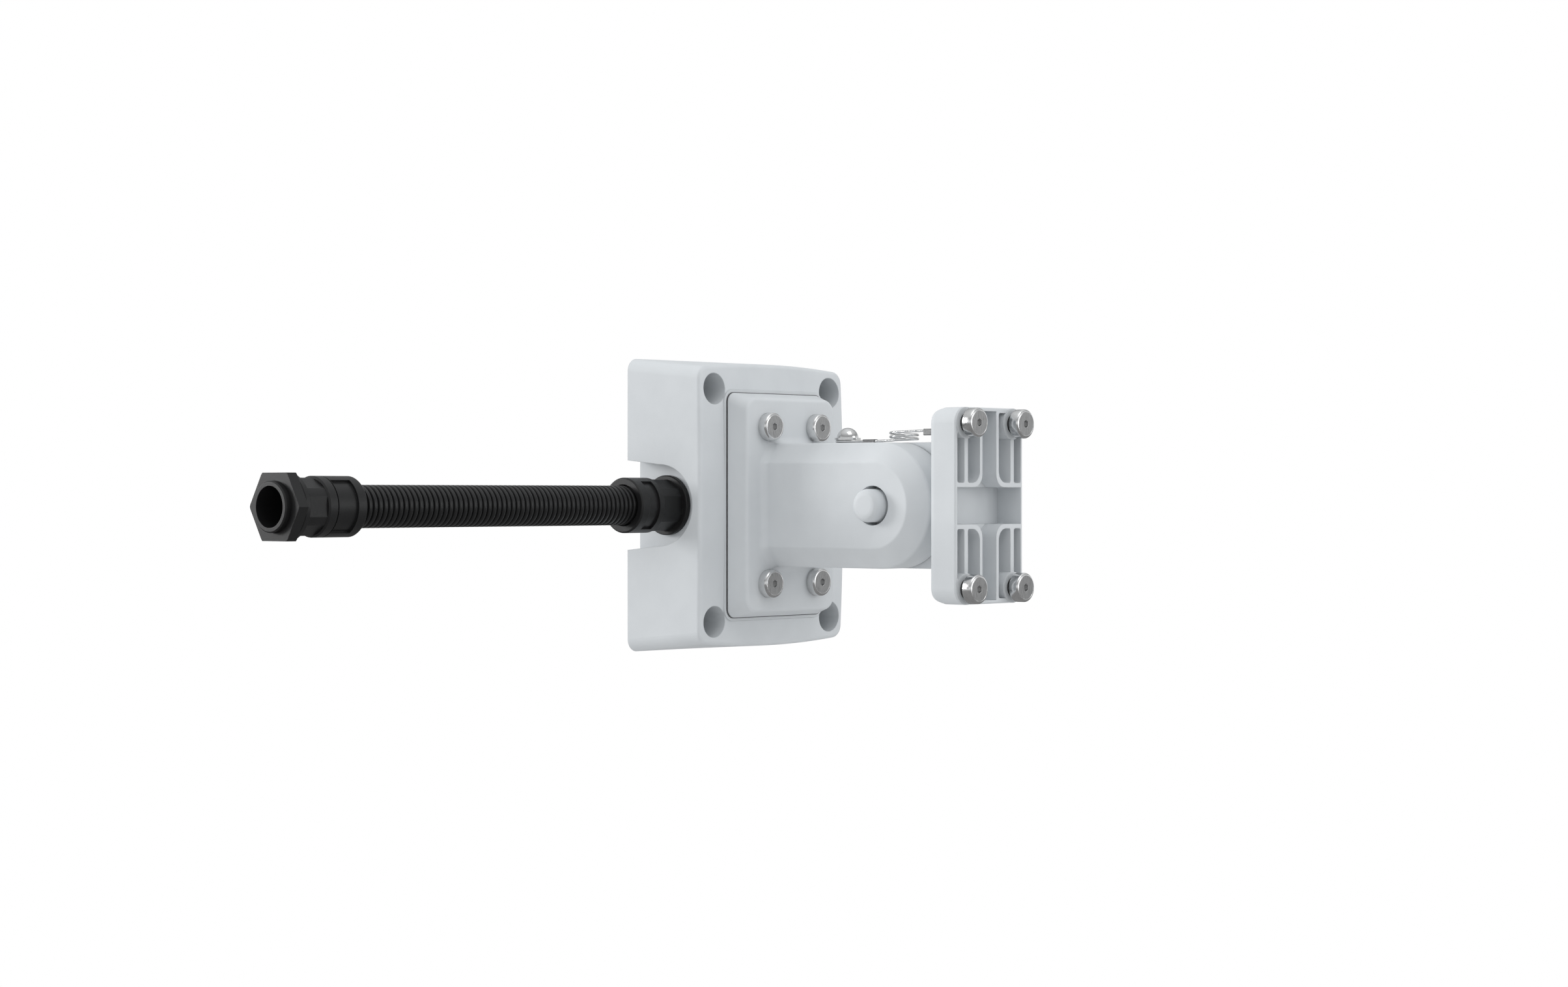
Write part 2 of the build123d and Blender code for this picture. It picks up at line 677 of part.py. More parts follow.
def fitting_body(face_x, toward, flats, shoulder, spigot):
    """The fixed half of a conduit fitting, from its threaded spigot to the nose inside the cap."""
    flats_end = collar_thickness + flats
    shoulder_end = flats_end + shoulder
    gap = shoulder_gap if shoulder else 0.0
    nose_end = shoulder_end + gap + nose_length
    stop = flats_end + shoulder + gap + cap_length - conduit_insertion
    inside = [(nose_end, socket_radius), (stop, socket_radius), (stop, spigot_bore_radius),
              (-spigot, spigot_bore_radius)]
    outside = [(-spigot, thread_radius - thread_chamfer), (-spigot + thread_chamfer, thread_radius),
               (0, thread_radius), (0, collar_radius - collar_edge), (collar_edge, collar_radius),
               (collar_thickness - collar_edge, collar_radius), (collar_thickness, collar_radius - collar_edge),
               (collar_thickness, body_radius), (flats_end, body_radius)]
    if shoulder:
        outside += [(flats_end, cap_radius - cap_edge), (flats_end + cap_edge, cap_radius),
                    (shoulder_end, cap_radius)]
    outside += [(shoulder_end, nose_radius), (nose_end, nose_radius)]
    body = turned(mirrored_x(inside + outside, face_x, toward), conduit_y)
    start = face_x + toward * collar_thickness
    end = face_x + toward * flats_end
    band = cross_bar(body_radius + 4, min(start, end), max(start, end), conduit_y)
    return body - (band - hexagon_bar(body_flat, start, end, 30))


def fitting_cap(mouth_x, toward):
    """The snap cap. toward points from the mouth into the fitting."""
    profile = [(0, cap_mouth_radius), (cap_lip_length, cap_mouth_radius), (cap_lip_length, cap_bore_radius),
               (cap_length, cap_bore_radius), (cap_length, cap_radius - cap_edge / 2),
               (cap_length - cap_edge / 2, cap_radius), (cap_edge, cap_radius), (0, cap_radius - cap_edge)]
    cap = turned(mirrored_x(profile, mouth_x, toward), conduit_y)
    return cap - latch_marks(mouth_x, toward)


def latch_marks(mouth_x, toward):
    """The shallow latch outline on the outward side: part of a ring groove and a slot at each end."""
    middle = mouth_x + toward * latch_groove_reach
    start = middle - latch_groove_width / 2
    ring = cross_bar(cap_radius + 1, start, start + latch_groove_width, conduit_y)
    ring -= cross_bar(cap_radius - latch_groove_depth, start - 1, start + latch_groove_width + 1, conduit_y)
    reach = 3 * cap_radius
    half = reach * math.tan(math.radians(latch_slot_angle))
    wedge = make_face(Polyline((0, 0), (-reach, half), (-reach, -half), close=True))
    ring = ring & extrude(Plane.YZ.offset(start - 1) * Pos(conduit_y, 0) * wedge, latch_groove_width + 2)
    slot_middle = middle + toward * (latch_groove_width + latch_slot_length) / 2
    slot = Pos(0, -cap_radius, 0) * Box(latch_slot_length, 2 * latch_groove_depth, latch_slot_width)
    marks = ring
    for angle in (-latch_slot_angle, latch_slot_angle):
        marks += Pos(slot_middle, conduit_y, 0) * Rot(angle, 0, 0) * slot
    return marks


def locknut(start_x, end_x, turn):
    low, high = sorted((start_x, end_x))
    nut = hexagon_bar(locknut_flat, low, high, turn)
    corner = locknut_flat / math.cos(math.pi / 6)
    drop = corner - locknut_chamfer_radius
    envelope = [(low, 0), (low, locknut_chamfer_radius), (low + drop / 2, corner + 0.1),
                (high - drop / 2, corner + 0.1), (high, locknut_chamfer_radius), (high, 0)]
    nut = nut & turned(envelope, conduit_y)
    return nut - cross_bar(thread_radius + thread_gap, low - 1, high + 1, conduit_y)


def conduit_tube():
    start = end_mouth_x - conduit_insertion
    end = wall_mouth_x + conduit_insertion
    tube = cross_bar(conduit_outer_radius, start, end, conduit_y)
    return tube - cross_bar(conduit_inner_radius, start - 1, end + 1, conduit_y)


def save_castings():
    save("back_box", back_box())
    save("flange_gasket", flange_gasket())
    save("wall_arm", wall_arm())
    save("camera_arm", camera_arm())


def save_screws():
    flange_screw = head_screw(flange_screw_length)
    camera_screw = head_screw(camera_screw_gap + camera_screw_depth, camera_screw_gap)
    for number, (x, z) in enumerate(four_corners(screw_half_x, screw_half_z), start=1):
        save(f"flange_screw_{number}", Pos(x, flange_front_y, z) * flange_screw)
        save(f"camera_screw_{number}", Pos(x, boss_face_y - camera_screw_gap, z) * camera_screw)


def save_pivot():
    save("pivot_bolt", pivot_bolt())
    save("pivot_washer", pivot_washer())
    save("pivot_nut", pivot_nut())
    save("pivot_friction_disc", friction_disc())


def save_tether():
    save("tether_screw", tether_screw())
    save("tether_washer", tether_washer())
    save("tether_wire", tether_wire())
    save("tether_ferrule_1", first_ferrule())
    save("tether_ferrule_2", second_ferrule())
    save("tether_screw_2", far_screw())


def save_conduit():
    save("box_fitting_body", fitting_body(niche_wall_x, -1, wall_fitting_body, 0.0, wall_fitting_spigot))
    save("box_fitting_cap", fitting_cap(wall_mouth_x, 1))
    nut_start = niche_wall_x + niche_wall
    save("box_fitting_locknut", locknut(nut_start, nut_start + locknut_thickness, 30))
    save("end_fitting_body",
         fitting_body(end_face_x, 1, end_fitting_body, end_fitting_shoulder, end_fitting_spigot))
    save("end_fitting_cap", fitting_cap(end_mouth_x, -1))
    nut_end = end_face_x - locknut_gap
    save("end_locknut", locknut(nut_end - locknut_thickness, nut_end, 0))
    save("conduit_tube", conduit_tube())


def main():
    os.makedirs("parts", exist_ok=True)
    save_castings()
    save_screws()
    save_pivot()
    save_tether()
    save_conduit()
    conduit_start = Vector(wall_mouth_x, conduit_y, 0)
    conduit_end = Vector(end_mouth_x, conduit_y, 0)
    print("conduit exits", conduit_start, conduit_end, "visible", conduit_visible)


main()
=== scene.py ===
import json
import math

import bpy
import bmesh
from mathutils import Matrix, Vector


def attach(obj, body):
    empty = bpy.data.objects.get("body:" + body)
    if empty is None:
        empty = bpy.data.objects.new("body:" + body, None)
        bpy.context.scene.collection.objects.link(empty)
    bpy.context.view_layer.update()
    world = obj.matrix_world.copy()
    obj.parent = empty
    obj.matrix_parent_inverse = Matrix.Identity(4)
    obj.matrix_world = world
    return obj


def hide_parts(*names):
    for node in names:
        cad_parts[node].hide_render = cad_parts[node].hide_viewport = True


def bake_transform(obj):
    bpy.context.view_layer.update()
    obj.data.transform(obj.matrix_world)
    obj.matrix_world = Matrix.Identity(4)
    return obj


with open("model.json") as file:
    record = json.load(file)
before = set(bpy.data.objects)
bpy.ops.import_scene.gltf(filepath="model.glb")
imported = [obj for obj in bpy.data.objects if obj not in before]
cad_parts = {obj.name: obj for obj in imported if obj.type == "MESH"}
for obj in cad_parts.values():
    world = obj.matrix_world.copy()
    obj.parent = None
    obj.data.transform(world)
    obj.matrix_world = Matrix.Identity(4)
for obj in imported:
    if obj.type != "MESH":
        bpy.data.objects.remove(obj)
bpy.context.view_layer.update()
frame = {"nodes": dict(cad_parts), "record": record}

nodes = frame["nodes"]

# Places shared with the solids, in metres
CONDUIT_Y = -0.0222
WALL_MOUTH = -0.0917
END_MOUTH = -0.2830
INSERTION = 0.0260
CAP_RADIUS = 0.0150
CAP_LENGTH = 0.0172
END_CAP_LENGTH = 0.0182
BOX_WINDOW = (0.0058, 0.0136)
END_WINDOW = (0.0058, 0.0180)
WINDOW_FLOOR = 0.0137
PLATE_FRONT = -0.2005
CAMERA_HEAD_SEAT = -0.2038
FLANGE_FRONT = -0.0628
SCREW_X = 0.0200
SCREW_Z = 0.0430
FLANGE_BACK = -0.0508
FLANGE_HALF_WIDTH = 0.0392
FLANGE_HALF_HEIGHT = 0.0616
FLANGE_CORNER = 0.0050
LIP = 0.0003
DISC_RADIUS = 0.0062
HEAD_RADIUS = 0.0077
HEAD_HEIGHT = 0.0057
RIM_ROUND = 0.0013
THREAD_RADIUS = 0.0040
FLANGE_SCREW_LENGTH = 0.0240
CAMERA_SCREW_LENGTH = 0.0180
SHOULDER_RADIUS = 0.0051
SOCKET_RADIUS = 0.0018
SOCKET_DEPTH = 0.0022
GROOVE_DEPTH = 0.00016
THREAD_DEPTH = 0.0004
THREAD_PITCH = 0.0012
SHOULDER_SINK = 0.0003

# Where the screw material turns from one look to the next, and where the painted shadow on the camera screw
# shoulders ends
FRONT_FACING = -0.96
SHOULDER_SHADE = 0.002


# Camera, solved from the photograph
cam_data = bpy.data.cameras.new("camera")
cam_data.sensor_width = 36.0
cam_data.lens = 66.88
cam_data.clip_start = 0.05
cam_data.clip_end = 100.0
cam = bpy.data.objects.new("camera", cam_data)
bpy.context.scene.collection.objects.link(cam)
cam.location = (-1.21225, -1.12797, 0.00641)
cam.rotation_euler = (math.radians(90.0), 0.0, math.radians(-48.547))
bpy.context.scene.camera = cam
bpy.context.scene.view_settings.view_transform = "Standard"


# Materials
class Shade:
    """A small helper that builds one procedural material."""

    def __init__(self, name):
        self.mat = bpy.data.materials.new(name)
        self.mat.use_nodes = True
        self.tree = self.mat.node_tree
        self.bsdf = self.tree.nodes["Principled BSDF"]
        self.coords = self.tree.nodes.new("ShaderNodeTexCoord")

    def put(self, socket, value):
        self.bsdf.inputs[socket].default_value = value

    def node(self, kind, **inputs):
        made = self.tree.nodes.new(kind)
        for key, value in inputs.items():
            made.inputs[key.replace("_", " ")].default_value = value
        return made

    def wire(self, a, out, b, into):
        self.tree.links.new(a.outputs[out], b.inputs[into])

    def noise(self, scale, detail=3.0, stretch=None):
        tex = self.node("ShaderNodeTexNoise", Scale=scale, Detail=detail)
        if stretch is None:
            self.wire(self.coords, "Object", tex, "Vector")
        else:
            mapping = self.tree.nodes.new("ShaderNodeMapping")
            mapping.inputs["Scale"].default_value = stretch
            self.wire(self.coords, "Object", mapping, "Vector")
            self.wire(mapping, "Vector", tex, "Vector")
        return tex

    def ramp(self, source, low_pos, low_col, high_pos, high_col):
        made = self.tree.nodes.new("ShaderNodeValToRGB")
        made.color_ramp.elements[0].position = low_pos
        made.color_ramp.elements[0].color = low_col
        made.color_ramp.elements[1].position = high_pos
        made.color_ramp.elements[1].color = high_col
        self.wire(source, "Fac", made, "Fac")
        return made

    def rounded(self, radius):
        """Soft light on sharp edges, as on a moulded or cast edge."""
        return self.node("ShaderNodeBevel", Radius=radius)

    def bump(self, source, strength, distance, under=None):
        made = self.node("ShaderNodeBump", Strength=strength, Distance=distance)
        self.wire(source, "Fac", made, "Height")
        if under is not None:
            self.wire(under, "Normal", made, "Normal")
        self.wire(made, "Normal", self.bsdf, "Normal")
        return made


def grey(level):
    return (level, level, level, 1.0)


def cast_paint(name, radius):
    s = Shade(name)
    s.put("Specular IOR Level", 0.35)
    tone = s.noise(60.0, 4.0)
    colour = s.ramp(tone, 0.35, (0.618, 0.640, 0.658, 1), 0.65, (0.640, 0.662, 0.680, 1))
    s.wire(colour, "Color", s.bsdf, "Base Color")
    rough = s.ramp(s.noise(2200.0, 2.0), 0.3, grey(0.48), 0.7, grey(0.62))
    s.wire(rough, "Color", s.bsdf, "Roughness")
    coarse = s.bump(s.noise(900.0, 2.0), 0.10, 0.0003, under=s.rounded(radius))
    s.bump(s.noise(3200.0, 1.0), 0.12, 0.0001, under=coarse)
    return s.mat


def black_plastic(name, level, rough):
    s = Shade(name)
    s.put("Specular IOR Level", 0.38)
    tone = s.noise(120.0, 3.0)
    high = level * 1.12
    colour = s.ramp(tone, 0.35, (level, level, level * 1.05, 1), 0.65, (high, high, level * 1.17, 1))
    s.wire(colour, "Color", s.bsdf, "Base Color")
    haze = s.ramp(s.noise(1400.0, 3.0), 0.3, grey(rough - 0.03), 0.7, grey(rough + 0.05))
    s.wire(haze, "Color", s.bsdf, "Roughness")
    s.bump(s.noise(2600.0, 2.0), 0.10, 0.0001, under=s.rounded(0.0003))
    return s.mat


def rubber():
    s = Shade("rubber")
    s.put("Specular IOR Level", 0.25)
    tone = s.noise(300.0, 3.0)
    colour = s.ramp(tone, 0.3, (0.080, 0.080, 0.083, 1), 0.7, (0.115, 0.115, 0.118, 1))
    s.wire(colour, "Color", s.bsdf, "Base Color")
    s.put("Roughness", 0.8)
    s.bump(s.noise(1800.0, 2.0), 0.2, 0.0001)
    return s.mat


def metal(name, level, rough):
    s = Shade(name)
    s.put("Metallic", 1.0)
    tone = s.noise(400.0, 3.0)
    colour = s.ramp(tone, 0.3, grey(level * 0.92), 0.7, grey(min(level * 1.06, 1.0)))
    s.wire(colour, "Color", s.bsdf, "Base Color")
    haze = s.ramp(s.noise(900.0, 2.0), 0.3, grey(rough * 0.8), 0.7, grey(rough * 1.25))
    s.wire(haze, "Color", s.bsdf, "Roughness")
    s.bump(s.noise(1500.0, 2.0), 0.04, 0.00005, under=s.rounded(0.0002))
    return s.mat


def screw_steel():
    """Satin sides, a darker brushed disc on the flat front, and painted shadow, near-black, on the shoulders
    behind the camera heads.
    """
    s = Shade("screw_steel")
    place = s.node("ShaderNodeSeparateXYZ")
    s.wire(s.coords, "Object", place, "Vector")
    facing = s.node("ShaderNodeSeparateXYZ")
    s.wire(s.coords, "Normal", facing, "Vector")

    def math_node(operation, a, b=None):
        made = s.tree.nodes.new("ShaderNodeMath")
        made.operation = operation
        for index, value in enumerate((a, b)):
            if value is None:
                continue
            if isinstance(value, float):
                made.inputs[index].default_value = value
            else:
                s.tree.links.new(value, made.inputs[index])
        return made.outputs["Value"]

    across = math_node("SUBTRACT", math_node("ABSOLUTE", place.outputs["X"]), SCREW_X)
    up = math_node("SUBTRACT", math_node("ABSOLUTE", place.outputs["Z"]), SCREW_Z)
    across_squared = math_node("MULTIPLY", across, across)
    reach = math_node("SQRT", math_node("ADD", across_squared, math_node("MULTIPLY", up, up)))
    flat = math_node("LESS_THAN", facing.outputs["Y"], FRONT_FACING)
    inner = math_node("LESS_THAN", reach, DISC_RADIUS)
    disc = math_node("MULTIPLY", flat, inner)
    brushed = s.noise(500.0, 4.0, (6.0, 1.0, 0.5))
    dark = s.ramp(brushed, 0.25, grey(0.29), 0.75, grey(0.46))
    bright = s.ramp(s.noise(300.0, 2.0), 0.3, grey(0.70), 0.7, grey(0.80))
    tone = s.tree.nodes.new("ShaderNodeMixRGB")
    s.tree.links.new(disc, tone.inputs["Fac"])
    s.wire(bright, "Color", tone, "Color1")
    s.wire(dark, "Color", tone, "Color2")
    # Painted shadow: the shoulder between each camera screw head and the plate is made near-black and
    # non-metal, standing in for the shade in that gap
    behind = math_node("GREATER_THAN", place.outputs["Y"], CAMERA_HEAD_SEAT + 0.00002)
    outer = math_node("LESS_THAN", place.outputs["Y"], PLATE_FRONT + SHOULDER_SHADE)
    shoulder = math_node("MULTIPLY", behind, outer)
    shoulder_shadow = s.tree.nodes.new("ShaderNodeMixRGB")
    s.tree.links.new(shoulder, shoulder_shadow.inputs["Fac"])
    s.wire(tone, "Color", shoulder_shadow, "Color1")
    shoulder_shadow.inputs["Color2"].default_value = (0.02, 0.02, 0.02, 1)
    s.wire(shoulder_shadow, "Color", s.bsdf, "Base Color")
    s.tree.links.new(math_node("SUBTRACT", 1.0, shoulder), s.bsdf.inputs["Metallic"])
    gloss = s.ramp(s.noise(900.0, 2.0), 0.3, grey(0.17), 0.7, grey(0.23))
    satin = s.ramp(brushed, 0.3, grey(0.26), 0.7, grey(0.36))
    haze = s.tree.nodes.new("ShaderNodeMixRGB")
    s.tree.links.new(disc, haze.inputs["Fac"])
    s.wire(gloss, "Color", haze, "Color1")
    s.wire(satin, "Color", haze, "Color2")
    s.wire(haze, "Color", s.bsdf, "Roughness")
    s.bump(brushed, 0.03, 0.00005)
    return s.mat


MATS = {
    "cast_paint": cast_paint("cast_paint", 0.0007),
    "pin_paint": cast_paint("pin_paint", 0.0018),
    "black_plastic": black_plastic("black_plastic", 0.009, 0.42),
    "conduit_plastic": black_plastic("conduit_plastic", 0.007, 0.36),
    "gasket_rubber": rubber(),
    "steel": metal("steel", 0.70, 0.14),
    "screw_steel": screw_steel(),
    "wire": metal("wire", 0.70, 0.22),
    "ferrule_metal": metal("ferrule_metal", 0.27, 0.5),
}

slots = {s["node"]: s["material_slot"] for s in frame["record"]["subparts"]}
for name, obj in nodes.items():
    obj.data.materials.clear()
    pin = name in ("pivot_bolt", "pivot_nut")
    obj.data.materials.append(MATS["pin_paint" if pin else slots[name]])


def new_object(name, mesh, mat, body=None):
    obj = bpy.data.objects.new(name, mesh)
    bpy.context.scene.collection.objects.link(obj)
    mesh.materials.append(MATS[mat])
    if body:
        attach(obj, body)
    return obj


def ring_faces(rings, count, wrap=False):
    """Quads between rings of count points each. wrap joins the last ring to the first."""
    faces = []
    for k in range(rings if wrap else rings - 1):
        n = (k + 1) % rings
        for i in range(count):
            j = (i + 1) % count
            faces.append((k * count + i, k * count + j, n * count + j, n * count + i))
    return faces


def closed_mesh(name, verts, faces, merge=False, smooth=True, sharp=None):
    """A mesh with outward normals. sharp is the angle in degrees past which edges stay crisp."""
    mesh = bpy.data.meshes.new(name)
    mesh.from_pydata(verts, [], faces)
    bm = bmesh.new()
    bm.from_mesh(mesh)
    if merge:
        bmesh.ops.remove_doubles(bm, verts=bm.verts, dist=1e-7)
    bmesh.ops.recalc_face_normals(bm, faces=bm.faces)
    bm.to_mesh(mesh)
    bm.free()
    if smooth:
        mesh.shade_smooth()
    if sharp:
        mesh.set_sharp_from_angle(angle=math.radians(sharp))
    return mesh


def revolve_x(name, profile, axis_y, segments):
    """A smooth ring turned about the X axis through axis_y, from a closed loop of (x, radius) points."""
    verts = []
    for x, r in profile:
        for i in range(segments):
            a = 2 * math.pi * i / segments
            verts.append((x, axis_y + r * math.cos(a), r * math.sin(a)))
    return closed_mesh(name, verts, ring_faces(len(profile), segments, wrap=True))


def snap_cap(node, mouth_x, toward, window, length):
    """A snap cap with two long latch windows. toward points from its mouth into the fitting."""
    half = math.radians(60)
    gap = math.radians(0.15)
    segments = 120
    mouth, bore, rear_bore, lip = 0.0113, 0.0110, 0.0130, 0.0025
    chamfer, nose, crisp = 0.0008, 0.0003, 0.0001
    angles = [2 * math.pi * i / segments for i in range(segments)]
    for centre in (0.0, math.pi):
        for edge in (centre - half, centre + half):
            angles += [(edge - gap) % (2 * math.pi), (edge + gap) % (2 * math.pi)]
    angles = sorted(set(angles))
    start, end = window
    rings = [(0.0, CAP_RADIUS - chamfer, False), (nose, CAP_RADIUS - nose, False),
             (chamfer, CAP_RADIUS, False), (start, CAP_RADIUS, False), (start, CAP_RADIUS, True),
             (end, CAP_RADIUS, True), (end, CAP_RADIUS, False),
             (length - crisp, CAP_RADIUS, False), (length, CAP_RADIUS - crisp, False),
             (length, rear_bore, False), (lip, rear_bore, False), (lip, bore, False),
             (nose, bore, False), (0.0, mouth, False)]
    verts = []
    for along, radius, cut in rings:
        for a in angles:
            away = min(abs(a - centre) for centre in (0.0, math.pi, 2 * math.pi))
            r = WINDOW_FLOOR if cut and away < half else radius
            verts.append((mouth_x + toward * along, CONDUIT_Y + r * math.cos(a), r * math.sin(a)))
    faces = ring_faces(len(rings), len(angles), wrap=True)
    mesh = closed_mesh(node + "_detail", verts, faces, merge=True, sharp=30)
    obj = new_object(node + "_detail", mesh, "black_plastic", "wall_side")
    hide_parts(node)
    return obj


def corrugated_conduit(end_cap):
    """The conduit with its ribs: flat-topped crests and narrower valleys all along."""
    outer = 0.0107
    valley = 0.0090
    inside = 0.0082
    pitch = 0.0033
    soft = 0.00015
    foot = 0.0006
    start = END_MOUTH - INSERTION
    end = WALL_MOUTH + INSERTION
    profile = []
    shape = [(0.00, valley), (0.12, valley), (0.19, valley + foot), (0.25, outer - soft), (0.32, outer),
             (0.80, outer), (0.87, outer - soft), (0.93, valley + foot), (0.99, valley)]
    x = start
    profile.append((start, valley))
    while x + pitch < end:
        for share, r in shape:
            if x + share * pitch > start:
                profile.append((x + share * pitch, r))
        x += pitch
    profile.append((end, valley))
    profile.append((end, inside))
    profile.append((start, inside))
    mesh = revolve_x("conduit", profile, CONDUIT_Y, 72)
    obj = new_object("conduit", mesh, "conduit_plastic", "wall_side")
    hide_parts("conduit_tube")


def hermite(p, q, tp, tq, count):
    """Points from p to q, leaving along tp and arriving along tq."""
    reach = (q - p).length
    a = tp.normalized() * reach
    b = tq.normalized() * reach
    out = []
    for i in range(count):
        t = i / count
        out.append(p * (2 * t**3 - 3 * t**2 + 1) + a * (t**3 - 2 * t**2 + t)
                   + q * (3 * t**2 - 2 * t**3) + b * (t**3 - t**2))
    return out


def eye(strand_in, strand_out, centre, radius, side, forward):
    """The open loop at one end of the tether."""
    taper = math.radians(30)

    def point(angle):
        return centre + side * (radius * math.cos(angle)) + forward * (radius * math.sin(angle))

    def heading(angle):
        return forward * math.cos(angle) - side * math.sin(angle)

    first, last = -taper, math.pi + taper
    out = hermite(strand_in, point(first), forward, heading(first), 14)
    out += [point(first + (last - first) * i / 40) for i in range(40)]
    out += hermite(point(last), strand_out, heading(last), -forward, 14)
    return out


def tether_points():
    """The same route as the wire in the solids, in metres."""
    offset = 0.00072
    wire_z = 0.0347
    near, near_end = -0.1156, -0.1234
    far, far_end = -0.1576, -0.1654
    coil_y, coil_z, coil_r, pitch, turns = -0.1377, 0.0351, 0.0074, 0.0021, 2
    top_z = coil_z + turns * pitch
    far_z = top_z + 0.0005
    lug_y, lug_z = -0.1740, far_z - offset
    rise = pitch / (2 * math.pi * coil_r)
    screw_y, near_eye, far_eye, stub = -0.1036, 0.0060, 0.0041, 0.0005
    inward, outward = Vector((0, 1, 0)), Vector((0, -1, 0))
    near_in, near_out = Vector((offset, near, wire_z)), Vector((-offset, near, wire_z))
    route = hermite(Vector((offset, near_end + stub, wire_z)), near_in, inward, inward, 8)
    route += eye(near_in, near_out, Vector((0, screw_y, wire_z)), near_eye, Vector((1, 0, 0)), inward)
    route += hermite(near_out, Vector((-offset, near_end, wire_z)), outward, outward, 8)
    entry, leave = Vector((-offset, coil_y, coil_z)), Vector((-offset, coil_y, top_z))
    slope = Vector((0, -1, rise))
    route += hermite(Vector((-offset, near_end, wire_z)), entry, outward, slope, 16)
    steps = 96
    for i in range(steps):
        a = math.pi + 2 * math.pi * turns * i / steps
        route.append(Vector((-offset + coil_r + coil_r * math.cos(a), coil_y + coil_r * math.sin(a),
                             coil_z + turns * pitch * i / steps)))
    route += hermite(leave, Vector((-offset, far, far_z)), slope, outward, 20)
    route += hermite(Vector((-offset, far, far_z)), Vector((-offset, far_end, far_z)), outward, outward, 8)
    back_z = lug_z - offset
    far_out = Vector((-offset, far_end, back_z))
    route += eye(Vector((-offset, far_end, far_z)), far_out, Vector((-offset, lug_y, lug_z)), far_eye,
                 Vector((0, 0, 1)), outward)
    route += hermite(far_out, Vector((-offset, far - stub, back_z)), inward, inward, 8)
    return route


def stranded(name, route, radius, lobes, lay):
    """A tube along a route whose surface is twisted strands."""
    around = lobes * 5
    verts = []
    frame_u = Vector((0, 0, 1))
    run = 0.0
    for k, p in enumerate(route):
        ahead = route[min(k + 1, len(route) - 1)]
        behind = route[max(k - 1, 0)]
        tangent = (ahead - behind).normalized()
        frame_u = (frame_u - tangent * frame_u.dot(tangent)).normalized()
        frame_v = tangent.cross(frame_u)
        if k:
            run += (p - route[k - 1]).length
        for i in range(around):
            a = 2 * math.pi * i / around
            lobe = abs(math.cos(lobes * a / 2 + 2 * math.pi * run / lay))
            r = radius * (0.90 + 0.10 * lobe)
            verts.append(p + frame_u * (r * math.cos(a)) + frame_v * (r * math.sin(a)))
    faces = ring_faces(len(route), around)
    faces.append(tuple(range(around))[::-1])
    faces.append(tuple((len(route) - 1) * around + i for i in range(around)))
    return closed_mesh(name, [tuple(v) for v in verts], faces)


def tether():
    mesh = stranded("tether", tether_points(), 0.0007, 6, 0.012)
    obj = new_object("tether", mesh, "wire")
    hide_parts("tether_wire")
    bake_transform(obj)


def screw(node, x, z, seat, shank_end, shoulder, body):
    """A steel screw with a rounded rim, a fine groove round its disc, a hex socket and a threaded shank."""
    segments = 48
    rim_steps = 9
    step_in = 0.0001
    disc_middle = 0.0034
    run_in, run_out, slope, root, tip = 0.0008, 0.0014, 0.00045, 0.00015, 0.0006
    verts = []

    def ring(out, radius, hexed=False):
        for i in range(segments):
            a = 2 * math.pi * i / segments
            r = radius
            if hexed:
                r = radius / math.cos((a + math.pi / 6) % (math.pi / 3) - math.pi / 6)
            verts.append((x + r * math.cos(a), seat - out, z + r * math.sin(a)))

    top = HEAD_HEIGHT
    flat = top - 0.00002
    ring(top - SOCKET_DEPTH, SOCKET_RADIUS, True)
    ring(top - step_in, SOCKET_RADIUS, True)
    ring(flat, SOCKET_RADIUS + step_in, True)
    ring(flat, disc_middle)
    ring(flat, DISC_RADIUS - step_in)
    ring(top - GROOVE_DEPTH, DISC_RADIUS)
    ring(top - GROOVE_DEPTH, DISC_RADIUS + step_in)
    for step in range(rim_steps + 1):
        a = math.radians(90 - 90 * step / rim_steps)
        ring(top - RIM_ROUND + RIM_ROUND * math.sin(a), HEAD_RADIUS - RIM_ROUND + RIM_ROUND * math.cos(a))
    ring(3 * step_in, HEAD_RADIUS)
    ring(step_in, HEAD_RADIUS - step_in)
    ring(0.0, HEAD_RADIUS - 3 * step_in)
    if shoulder:
        # The shoulder ends out of sight, a little behind the plate's front
        shoulder_end = seat - PLATE_FRONT - SHOULDER_SINK
        ring(0.0, SHOULDER_RADIUS)
        ring(shoulder_end, SHOULDER_RADIUS)
        ring(shoulder_end, THREAD_RADIUS)
        along = shoulder_end - step_in
    else:
        ring(0.0, THREAD_RADIUS)
        along = -run_in
    while along > seat - shank_end + run_out:
        ring(along, THREAD_RADIUS)
        ring(along - slope, THREAD_RADIUS - THREAD_DEPTH)
        ring(along - slope - root, THREAD_RADIUS - THREAD_DEPTH)
        ring(along - 2 * slope - root, THREAD_RADIUS)
        along -= THREAD_PITCH
    ring(seat - shank_end + tip, THREAD_RADIUS - step_in)
    ring(seat - shank_end, THREAD_RADIUS - tip - step_in)
    count = len(verts) // segments
    faces = ring_faces(count, segments)
    faces.append(tuple(range(segments)))
    faces.append(tuple((count - 1) * segments + i for i in range(segments)))
    mesh = closed_mesh(node + "_detail", verts, faces, sharp=32)
    obj = new_object(node + "_detail", mesh, "screw_steel", body)
    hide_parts(node)


def screws():
    number = 0
    for z in (SCREW_Z, -SCREW_Z):
        for x in (-SCREW_X, SCREW_X):
            number += 1
            flange_end = FLANGE_FRONT + FLANGE_SCREW_LENGTH
            camera_end = CAMERA_HEAD_SEAT + CAMERA_SCREW_LENGTH
            screw(f"flange_screw_{number}", x, z, FLANGE_FRONT, flange_end, False, "wall_side")
            screw(f"camera_screw_{number}", x, z, CAMERA_HEAD_SEAT, camera_end, True, "camera_side")


